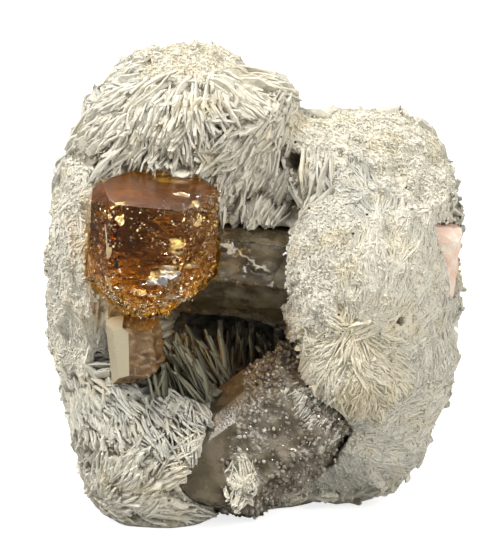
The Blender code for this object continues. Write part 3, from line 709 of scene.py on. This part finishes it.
def stand_on(tree, name, rows, tone):
    """Blades of albite on another surface: rows of foot, end, width and height in millimetres."""
    foot, out = nearest_on(tree, np.array([row[0] for row in rows]) * MM)
    end, end_out = nearest_on(tree, np.array([row[1] for row in rows]) * MM)
    width, height = (np.array([row[column] for row in rows]) * MM for column in (2, 3))
    roll = 12.0 * draw.standard_normal(len(rows))
    shapes = blade_shapes(foot, end, out, end_out, width, height, 0.2, roll, LONG_FORM)
    even = np.full(len(rows), tone)
    piece = blade_piece(name, shapes, draw.random(len(rows)), even, np.full(len(rows), 0.8))
    piece.data.materials.append(albite)
    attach(piece, "root")
    return piece


stand_on(topaz_tree, "topaz_blades", TOPAZ_BLADES, 0.9)

# See-through by its depth: little light is lost in thin places, and red-brown is left in thick ones.
topaz_material, tree = new_material("topaz")
place = in_mm(tree)
at = put(tree, "SeparateXYZ", {0: place}).outputs
facing_up = put(tree, "SeparateXYZ", {0: put(tree, "NewGeometry").outputs["True Normal"]}).outputs[2]
to_right = put(tree, "MapRange", {0: at[0], 1: -17.5, 2: -12.5}).outputs[0]
to_foot = put(tree, "MapRange", {0: at[2], 1: 42.5, 2: 38.5}).outputs[0]
not_top = put(tree, "MapRange", {0: facing_up, 1: 0.75, 2: 0.5}).outputs[0]
ridged = arithmetic(tree, "MULTIPLY", arithmetic(tree, "MAXIMUM", to_right, to_foot), not_top)
ridged = arithmetic(tree, "ADD", arithmetic(tree, "MULTIPLY", ridged, 0.94), 0.06)
slanted = put(tree, "Mapping", {0: place, "Rotation": (0.4, 0.6, 0.3), "Scale": (0.6, 1.0, 1.3)}).outputs[0]
ridges = put(
    tree, "TexNoise", {"Vector": slanted, "Scale": 0.8, "Detail": 3.0}, noise_type="RIDGED_MULTIFRACTAL"
)
glass = put(tree, "BsdfPrincipled", {
    "Base Color": (1.0, 1.0, 1.0, 1.0),
    "Roughness": put(tree, "MapRange", {0: not_top, 1: 0.0, 2: 1.0, 3: 0.22, 4: 0.015}).outputs[0],
    "IOR": 1.62,
    "Transmission Weight": 1.0,
    "Normal": bumped(tree, ridged, ETCH_LOOK * MM, ridges.outputs[0]),
})
passing = put(tree, "BsdfTransparent", {0: (0.55, 0.46, 0.36, 1.0)})
is_shadow = put(tree, "LightPath").outputs["Is Shadow Ray"]
surface = put(tree, "MixShader", {0: is_shadow, 1: glass.outputs[0], 2: passing.outputs[0]})
inside = put(tree, "VolumeAbsorption", {"Color": (0.940, 0.840, 0.43, 1.0), "Density": 330.0})
finish_material(tree, surface.outputs[0], inside.outputs[0])
topaz.data.materials.append(topaz_material)

flash, tree = new_material("open_crack")
gloss = put(tree, "BsdfPrincipled", {
    "Base Color": (1.0, 0.96, 0.93, 1.0),
    "Metallic": 1.0,
    "Roughness": 0.32,
})
finish_material(tree, gloss.outputs[0])
cracks.data.materials.append(flash)
dark, tree = new_material("black_spot")
black = put(tree, "BsdfPrincipled", {"Base Color": (0.02, 0.02, 0.025, 1.0), "Roughness": 0.3})
finish_material(tree, black.outputs[0])
spot.data.materials.append(dark)
for piece in (topaz, cracks, spot):
    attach(piece, "root")
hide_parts("topaz_crystal")

# The frosted topaz stub below: a smaller, broken topaz, clouded right through and dull on the outside.
# Its left face has a creamy skin.


def clouded_group():
    """A node group that mixes two colours by a cloud, and gives out the cloud too, as a height."""
    group = bpy.data.node_groups.new("clouded", "ShaderNodeTree")
    sockets = {"Place": "Vector", "Scale": "Float", "Detail": "Float", "Low": "Float", "High": "Float"}
    for name, kind in {**sockets, "First": "Color", "Second": "Color"}.items():
        group.interface.new_socket(name, in_out="INPUT", socket_type="NodeSocket" + kind)
    group.interface.new_socket("Colour", in_out="OUTPUT", socket_type="NodeSocketColor")
    group.interface.new_socket("Cloud", in_out="OUTPUT", socket_type="NodeSocketFloat")
    given = group.nodes.new("NodeGroupInput").outputs
    cloud = noise_at(group, given["Place"], given["Scale"], given["Detail"])
    share = put(group, "MapRange", {0: cloud, 1: given["Low"], 2: given["High"]}).outputs[0]
    results = group.nodes.new("NodeGroupOutput").inputs
    group.links.new(blend_colour(group, share, given["First"], given["Second"]), results["Colour"])
    group.links.new(cloud, results["Cloud"])
    return group


clouded = clouded_group()


def cloud_of(tree, place, scale, detail, edges, first, second):
    """The clouded group placed in a material. The edges are the cloud's values for each pure colour."""
    values = {"Place": place, "Scale": scale, "Detail": detail, "Low": edges[0], "High": edges[1]}
    made = put(tree, "Group", {**values, "First": (*first, 1.0), "Second": (*second, 1.0)}, node_tree=clouded)
    return made.outputs["Colour"], made.outputs["Cloud"]


stub = finely_cut("topaz_stub", "stub_body", cuts=8, finest=0.25)
etch(stub, 0.9, 0.2, 1.6, lambda at_mm, facing: np.clip(0.2 + facing[:, 0] + 0.5 * facing[:, 2], 0, 1), 31)
frosted, tree = new_material("frosted_topaz")
place = in_mm(tree)
tan, _ = cloud_of(tree, place, 0.5, 4.0, (0.35, 0.65), (0.13, 0.062, 0.018), (0.29, 0.175, 0.070))
glitter = noise_at(tree, place, 4.0, 3.0)
facing_left = put(tree, "SeparateXYZ", {0: put(tree, "NewGeometry").outputs["True Normal"]}).outputs[0]
left = put(tree, "MapRange", {0: facing_left, 1: -0.45, 2: -0.62, 3: 0.0, 4: 1.0}).outputs[0]
body = blend_colour(tree, left, tan, (0.56, 0.49, 0.34, 1.0))
frost = put(tree, "BsdfPrincipled", {
    "Base Color": body,
    "Roughness": 0.38,
    "IOR": 1.62,
    "Transmission Weight": 0.2,
    "Normal": bumped(tree, 0.5, 0.2 * MM, glitter),
})
finish_material(tree, frost.outputs[0])
stub.data.materials.append(frosted)
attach(stub, "root")
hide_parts("topaz_stub")

# The smoky quartz behind: cloudy and translucent, ridged across, with a white crack from its upper
# left corner down to the right.
back_quartz = finely_cut("back_quartz", "quartz_behind", cuts=9, finest=0.4)
etch(back_quartz, 0.8, 0.3, 3.6, lambda at_mm, facing: np.full(len(at_mm), 0.8), 41)
smoky, tree = new_material("smoky_quartz")
place = in_mm(tree)
at = put(tree, "SeparateXYZ", {0: place}).outputs
stretched = put(tree, "Mapping", {0: place, "Scale": (0.4, 0.6, 0.9)}).outputs[0]
dark, pale = (0.065, 0.047, 0.022), (0.145, 0.112, 0.060)
body, bands = cloud_of(tree, stretched, 0.8, 4.0, (0.35, 0.68), dark, pale)
milk = noise_at(tree, place, 0.35, 5.0)
wander = noise_at(tree, place, 0.5, 5.0)
body = blend_colour(tree, ramp(tree, milk, (0.46, 0.0), (0.68, 0.75)), body, (0.27, 0.23, 0.15, 1.0))
slope = arithmetic(tree, "ADD", at[2], arithmetic(tree, "MULTIPLY", at[0], 0.55))
slope = arithmetic(tree, "ADD", slope, arithmetic(tree, "MULTIPLY", wander, 5.0))
off_crack = arithmetic(tree, "ABSOLUTE", arithmetic(tree, "SUBTRACT", slope, 41.0), 0.0)
crack_line = ramp(tree, off_crack, (0.10, 1.0), (0.32, 0.0))
left_part = put(tree, "MapRange", {0: at[0], 1: 3.0, 2: 1.0}).outputs[0]
body = blend_colour(tree, arithmetic(tree, "MULTIPLY", crack_line, left_part), body, (0.72, 0.69, 0.60, 1.0))
quartz = put(tree, "BsdfPrincipled", {
    "Base Color": body,
    "Roughness": ramp(tree, milk, (0.3, 0.14), (0.7, 0.38)),
    "IOR": 1.55,
    "Transmission Weight": 0.4,
    "Normal": bumped(tree, 0.3, 0.3 * MM, bands),
})
finish_material(tree, quartz.outputs[0])
back_quartz.data.materials.append(smoky)
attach(back_quartz, "root")
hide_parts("back_quartz")

# The smoky quartz in front: smooth, milky faces on its left, tiny glittering crystals over the rest, a
# patch of white albite low on it, and grey albite grown over its right side. The tiny crystals are
# six-sided points. They start to the right of DRUSE_LINE, which slants with the quartz.
DRUSE_SIZE = (0.18, 0.66)
DRUSE_PER_MM2 = 3.0
DRUSE_LINE = -3.4
DRUSE_SIDES = 6
ALBITE_PATCH = (-1.6, -15.0, 7.6)
PATCH_RADII = (2.0, 9.0, 4.6)


def on_patch(points):
    """How far into the white patch each point is, from 0 to 1."""
    apart = (points / MM - np.array(ALBITE_PATCH)) / np.array(PATCH_RADII)
    return smooth_step(1.15, 0.75, np.linalg.norm(apart, axis=1) + 0.25 * soft_noise(points, 1.3, 71))


def druse_share(points):
    """1 where tiny crystals cover the quartz, 0 on its smooth left faces."""
    x, _, z = (points / MM).T
    edge = x - 0.22 * (z - 14.0) + 1.3 * soft_noise(points, 2.4, 72)
    return smooth_step(DRUSE_LINE, DRUSE_LINE + 1.0, edge)


front_quartz = finely_cut("front_quartz", "quartz_in_front", cuts=11, finest=0.36)
etch(front_quartz, 1.3, 0.3, 4.0, lambda at_mm, facing: 0.1 + 0.9 * druse_share(at_mm * MM), 51)
quartz_points = points_of(front_quartz.data)
quartz_normals = normals_of(front_quartz.data)
quartz_tree = search_tree(front_quartz.data)
covered = druse_share(quartz_points)
patch = on_patch(quartz_points)
paint(front_quartz, np.clip(covered, 0, 1), patch, 0.5 + 0.5 * soft_noise(quartz_points, 2.0, 73))

quartz_cell = sum(face.area for face in front_quartz.data.polygons) / MM**2 / len(quartz_points)
chosen = draw.random(len(quartz_points)) < DRUSE_PER_MM2 * quartz_cell * covered * (1 - patch)
chosen = np.flatnonzero(chosen & (quartz_points[:, 2] > 0.6 * MM) & (quartz_points[:, 1] < -3 * MM))
lean = np.stack([soft_noise(quartz_points[chosen], 2.6, seed) for seed in (74, 75, 76)], axis=1)
point_way = unit(quartz_normals[chosen] + 0.9 * lean + 0.25 * draw.standard_normal((len(chosen), 3)))
first = unit(np.cross(point_way, draw.standard_normal((len(chosen), 3))))
second = np.cross(point_way, first)
size = (DRUSE_SIZE[0] + (DRUSE_SIZE[1] - DRUSE_SIZE[0]) * draw.random(len(chosen)) ** 2)[:, None] * MM
rings = []
for level in (-0.8, 0.55):
    for corner in range(DRUSE_SIDES):
        turn = math.tau * corner / DRUSE_SIDES
        around = first * math.cos(turn) + second * math.sin(turn)
        rings.append(quartz_points[chosen] + (around * 0.55 + point_way * level) * size)
rings.append(quartz_points[chosen] + point_way * size * 1.05)
tip = 2 * DRUSE_SIDES
neighbours = [(corner, (corner + 1) % DRUSE_SIDES) for corner in range(DRUSE_SIDES)]
sides = [(a, b, DRUSE_SIDES + b) for a, b in neighbours]
sides += [(a, DRUSE_SIDES + b, DRUSE_SIDES + a) for a, b in neighbours]
sides += [(DRUSE_SIDES + a, DRUSE_SIDES + b, tip) for a, b in neighbours]
druse_faces = np.array(sides)[None] + (tip + 1) * np.arange(len(chosen))[:, None, None]
druse = add_mesh("quartz_druse", np.stack(rings, axis=1).reshape(-1, 3), druse_faces.reshape(-1, 3))
druse_shade = np.repeat(draw.random(len(chosen)), tip + 1)
druse_level = np.r_[np.zeros(DRUSE_SIDES), np.full(DRUSE_SIDES, 0.7), 1.0]
paint(druse, np.tile(druse_level, len(chosen)), druse_shade, druse_shade)

drusy, tree = new_material("drusy_quartz")
place = in_mm(tree)
covered_here, patch_here, _ = growth_parts(tree)
dark, pale = (0.125, 0.100, 0.068), (0.27, 0.235, 0.18)
rough_body, cloud = cloud_of(tree, place, 0.4, 5.0, (0.38, 0.62), dark, pale)
dark, pale = (0.090, 0.070, 0.040), (0.180, 0.150, 0.100)
smooth_body, _ = cloud_of(tree, place, 0.4, 5.0, (0.36, 0.66), dark, pale)
body = blend_colour(tree, covered_here, smooth_body, rough_body)
white, fine = cloud_of(tree, place, 3.0, 3.0, (0.40, 0.60), (0.40, 0.36, 0.26), (0.72, 0.70, 0.60))
body = blend_colour(tree, patch_here, body, white)
quartz = put(tree, "BsdfPrincipled", {
    "Base Color": body,
    "Roughness": ramp(tree, cloud, (0.3, 0.16), (0.7, 0.34)),
    "IOR": 1.55,
    "Transmission Weight": 0.12,
    "Normal": bumped(tree, 0.35, 0.2 * MM, fine),
})
finish_material(tree, quartz.outputs[0])
front_quartz.data.materials.append(drusy)

glitter, tree = new_material("quartz_glitter")
height, own_shade, _ = growth_parts(tree)
dark, pale = (0.130, 0.105, 0.072), (0.28, 0.245, 0.19)
body, _ = cloud_of(tree, in_mm(tree), 0.4, 5.0, (0.38, 0.62), dark, pale)
body = blend_colour(tree, ramp(tree, own_shade, (0.78, 0.0), (0.92, 0.8)), body, (0.74, 0.71, 0.64, 1.0))
body = blend_colour(tree, arithmetic(tree, "MULTIPLY", height, 0.35), body, (0.55, 0.52, 0.46, 1.0))
quartz = put(tree, "BsdfPrincipled", {
    "Base Color": body,
    "Roughness": 0.14,
    "IOR": 1.55,
    "Transmission Weight": 0.15,
})
finish_material(tree, quartz.outputs[0])
druse.data.materials.append(glitter)
for piece in (front_quartz, druse):
    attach(piece, "root")
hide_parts("front_quartz")

# Albite grown over the front quartz: white crumbs on its patch, and grey fibres that run from its right
# edge down to the left.
CRUMBS = 420
CRUMB_REACH = (2.4, 1.0, 5.0)
CRUMB_LOWEST = 1.2
FIBRES = 260
FIBRE_WAY = (-0.62, 0.0, -0.78)
FIBRE_LENGTH = (1.2, 3.4)
rows = []
for _ in range(CRUMBS):
    across, deep, up = CRUMB_REACH
    foot = np.array(ALBITE_PATCH) + draw.uniform((-across, -deep, -up), (across, 0.0, up))
    foot[2] = max(foot[2], CRUMB_LOWEST)
    end = foot + (0.2, 0.0, -0.9) + draw.uniform(-0.5, 0.5, 3)
    rows.append((foot, end, draw.uniform(0.15, 0.34), draw.uniform(0.1, 0.3)))
stand_on(quartz_tree, "patch_crumbs", [row for row in rows if on_patch(row[0][None] * MM)[0] > 0.3], 0.6)
rows = []
for _ in range(FIBRES):
    foot = np.array((draw.uniform(5.5, 13.0), -13.0, draw.uniform(13.0, 24.0)))
    if foot[0] + 0.45 * (foot[2] - 14.0) < 10.0 + draw.uniform(-1.5, 1.5):
        continue
    end = foot + np.array(FIBRE_WAY) * draw.uniform(*FIBRE_LENGTH) + draw.uniform(-0.3, 0.3, 3)
    rows.append((foot, end, draw.uniform(0.16, 0.36), draw.uniform(0.12, 0.3)))
stand_on(quartz_tree, "quartz_fibres", rows, 0.36)

# The feldspar on the right edge: a patch of pale pink, cleaved crystal that the albite has grown round.
# Its faces are almost flat and dull.
feldspar, tree = new_material("feldspar")
place = in_mm(tree)
body, _ = cloud_of(tree, place, 0.5, 5.0, (0.4, 0.65), (0.80, 0.58, 0.47), (0.86, 0.78, 0.68))
grain = noise_at(tree, place, 3.0, 4.0)
spar = put(tree, "BsdfPrincipled", {
    "Base Color": body,
    "Roughness": 0.6,
    "Normal": bumped(tree, 0.6, 0.3 * MM, grain),
})
finish_material(tree, spar.outputs[0])
spar_piece = finely_cut("pink_feldspar", "feldspar_patch", cuts=7, finest=0.25)
etch(spar_piece, 0.5, 0.12, 3.0, lambda at_mm, facing: np.full(len(at_mm), 0.8), 61)
spar_piece.data.materials.append(feldspar)
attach(spar_piece, "root")
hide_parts("pink_feldspar")

# The lining of the pocket: grey-green albite, its colour darkened with painted shade, with sprays of slender
# blades that stand up from its floor and lean to the left.
grey_albite, tree = new_material("grey_albite")
dark, pale = (0.030, 0.028, 0.018), (0.17, 0.165, 0.125)
body, cloud = cloud_of(tree, in_mm(tree), 0.9, 5.0, (0.35, 0.65), dark, pale)
dull = put(tree, "BsdfPrincipled", {
    "Base Color": body,
    "Roughness": 0.7,
    "Normal": bumped(tree, 0.9, 0.5 * MM, cloud),
})
finish_material(tree, dull.outputs[0])
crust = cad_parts["pocket_crust"]
crust.data.materials.clear()
crust.data.materials.append(grey_albite)

# Sprays: foot, how far the feet are spread, way the blades point, shortest and longest, and how many.
SPRAYS = (
    ((-8.2, -9.6, 19.2), (2.4, 1.8, 1.0), (-0.50, -0.05, 0.86), (4.5, 9.5), 46),
    ((-12.8, -10.8, 19.4), (2.2, 1.6, 0.8), (-0.30, -0.10, 0.94), (3.0, 6.5), 34),
    ((-5.2, -4.0, 19.6), (2.6, 2.4, 0.8), (-0.40, -0.05, 0.90), (4.5, 8.5), 40),
    ((-2.2, 1.2, 20.4), (2.4, 1.6, 0.8), (0.05, -0.10, 0.98), (4.5, 7.5), 20),
    ((-10.0, -2.0, 20.4), (2.6, 2.6, 0.8), (-0.20, -0.10, 0.95), (4.0, 7.5), 26),
    ((2.6, -2.4, 23.4), (1.8, 2.0, 0.8), (-0.35, -0.40, 0.85), (1.5, 3.5), 22),
    ((-15.6, -11.4, 20.6), (2.0, 1.6, 0.8), (0.35, -0.30, 0.85), (2.0, 4.5), 16),
)
SPRAY_WIDTH = (0.18, 0.52)
SPRAY_TOP = 31.5
SPRAY_GAP = 0.45
foot, end, wide = [], [], []
for middle, spread, way, reach, count in SPRAYS:
    for _ in range(count):
        base = np.array(middle) + np.array(spread) * draw.uniform(-1, 1, 3)
        tip = base + unit(np.array(way) + 0.16 * draw.standard_normal(3)) * draw.uniform(*reach)
        foot.append(base)
        end.append(tip)
        wide.append(draw.uniform(*SPRAY_WIDTH))
foot, end, wide = np.array(foot) * MM, np.array(end) * MM, np.array(wide) * MM
midway = [distance_to(crystal_trees, foot + (end - foot) * share) for share in (0.35, 0.7, 1.0)]
free = (np.min(midway, axis=0) > SPRAY_GAP * MM) & (end[:, 2] < SPRAY_TOP * MM)
foot, end, wide = foot[free], end[free], wide[free]
outward = unit(np.array((-0.2, -1.0, 0.1)) + 0.5 * draw.standard_normal((len(foot), 3)))
outward = unit(outward - unit(end - foot) * (outward * unit(end - foot)).sum(axis=1, keepdims=True))
shapes = blade_shapes(foot, end, outward, outward, wide, wide * 0.9, 0.3, np.zeros(len(foot)), LONG_FORM)
shade = draw.random(len(foot))
sprays = blade_piece("pocket_sprays", shapes, shade, shade, np.full(len(foot), 0.0))
# Painted shade: the sprays are painted dark for the shade inside the pocket, darkest at their feet.
shaded_sprays, tree = new_material("shaded_spray_albite")
level, own_shade, _ = growth_parts(tree)
own = blend_colour(tree, own_shade, (0.10, 0.095, 0.062, 1.0), (0.30, 0.285, 0.205, 1.0))
body = blend_colour(tree, ramp(tree, level, (0.0, 0.0), (0.8, 1.0)), (0.030, 0.026, 0.016, 1.0), own)
finish_material(tree, put(tree, "BsdfPrincipled", {"Base Color": body, "Roughness": 0.6}).outputs[0])
sprays.data.materials.append(shaded_sprays)
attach(sprays, "root")

# The camera stands where the photograph's stood: in front of the middle, looking a little down. The
# lens is long, so that a pixel of the photograph is the same size all over the specimen.
PHOTO_HEIGHT = 560
MM_PER_PIXEL = 0.145
CAMERA_ELEVATION = math.radians(12.0)
CAMERA_TARGET = Vector((-0.58, -5.0, 35.4)) * MM
CAMERA_DISTANCE = 0.35
SENSOR_WIDTH = 36.0
camera = bpy.data.objects.new("camera", bpy.data.cameras.new("camera"))
bpy.context.scene.collection.objects.link(camera)
back_and_up = Vector((0.0, -math.cos(CAMERA_ELEVATION), math.sin(CAMERA_ELEVATION)))
camera.location = CAMERA_TARGET + back_and_up * CAMERA_DISTANCE
camera.rotation_euler = (math.pi / 2 - CAMERA_ELEVATION, 0.0, 0.0)
camera.data.sensor_width = SENSOR_WIDTH
camera.data.lens = SENSOR_WIDTH * CAMERA_DISTANCE / (PHOTO_HEIGHT * MM_PER_PIXEL * MM)
camera.data.clip_start = 0.01
bpy.context.scene.camera = camera

# The studio: a plain pale floor, a soft light from the upper left, weaker ones from the front right and
# from behind, and three small ones that only glint on glassy faces. The floor is dim in reflections.
FLOOR_REACH = 2.0
corners = FLOOR_REACH * np.array(((-1, -1, 0), (1, -1, 0), (1, 1, 0), (-1, 1, 0)), float)
floor = add_mesh("floor", corners, np.array(((0, 1, 2, 3),)))
pale, tree = new_material("pale_floor")
ray = put(tree, "LightPath").outputs
mirrored = arithmetic(tree, "MAXIMUM", ray["Is Glossy Ray"], ray["Is Transmission Ray"])
shade = blend_colour(tree, mirrored, (0.55, 0.55, 0.54, 1.0), (0.10, 0.10, 0.10, 1.0))
glow = arithmetic(tree, "MULTIPLY", ray["Is Camera Ray"], 0.8)
lit = put(tree, "AddShader", {
    0: put(tree, "BsdfDiffuse", {0: shade}).outputs[0],
    1: put(tree, "Emission", {0: (1.0, 1.0, 1.0, 1.0), 1: glow}).outputs[0],
})
finish_material(tree, lit.outputs[0])
floor.data.materials.append(pale)


def soft_light(name, place, size, power, colour, glossy_only=False):
    light = bpy.data.lights.new(name, "AREA")
    light.size = size
    light.energy = power
    light.color = colour
    lamp = bpy.data.objects.new(name, light)
    lamp.location = place
    lamp.visible_diffuse = not glossy_only
    lamp.rotation_euler = (CAMERA_TARGET - Vector(place)).to_track_quat("-Z", "Y").to_euler()
    bpy.context.scene.collection.objects.link(lamp)


soft_light("key", (-0.26, -0.12, 0.46), 0.14, 3.05, (1.0, 0.985, 0.95))
soft_light("fill", (0.36, -0.36, 0.34), 0.26, 2.3, (1.0, 0.97, 0.91))
soft_light("back", (0.0, 0.34, 0.50), 0.30, 1.8, (1.0, 1.0, 1.0))
soft_light("glint left", (-0.22, -0.42, 0.20), 0.035, 0.12, (1.0, 1.0, 1.0), True)
soft_light("glint right", (0.24, -0.40, 0.24), 0.035, 0.12, (1.0, 1.0, 1.0), True)
soft_light("glint low", (-0.06, -0.44, 0.26), 0.035, 0.10, (1.0, 1.0, 1.0), True)
world = bpy.data.worlds.new("studio")
world.use_nodes = True
tree = world.node_tree
height = put(tree, "SeparateXYZ", {0: put(tree, "TexCoord").outputs["Generated"]}).outputs[2]
dome = put(tree, "MapRange", {0: height, 1: 0.1, 2: 0.8, 3: 0.14, 4: 0.36}).outputs[0]
shown = put(tree, "Mix", {0: put(tree, "LightPath").outputs["Is Camera Ray"], 2: dome, 3: 1.0}).outputs[0]
tree.links.new(shown, tree.nodes["Background"].inputs["Strength"])
tree.nodes["Background"].inputs["Color"].default_value = (1.0, 1.0, 1.0, 1.0)
bpy.context.scene.world = world
bpy.context.scene.view_settings.view_transform = "Standard"
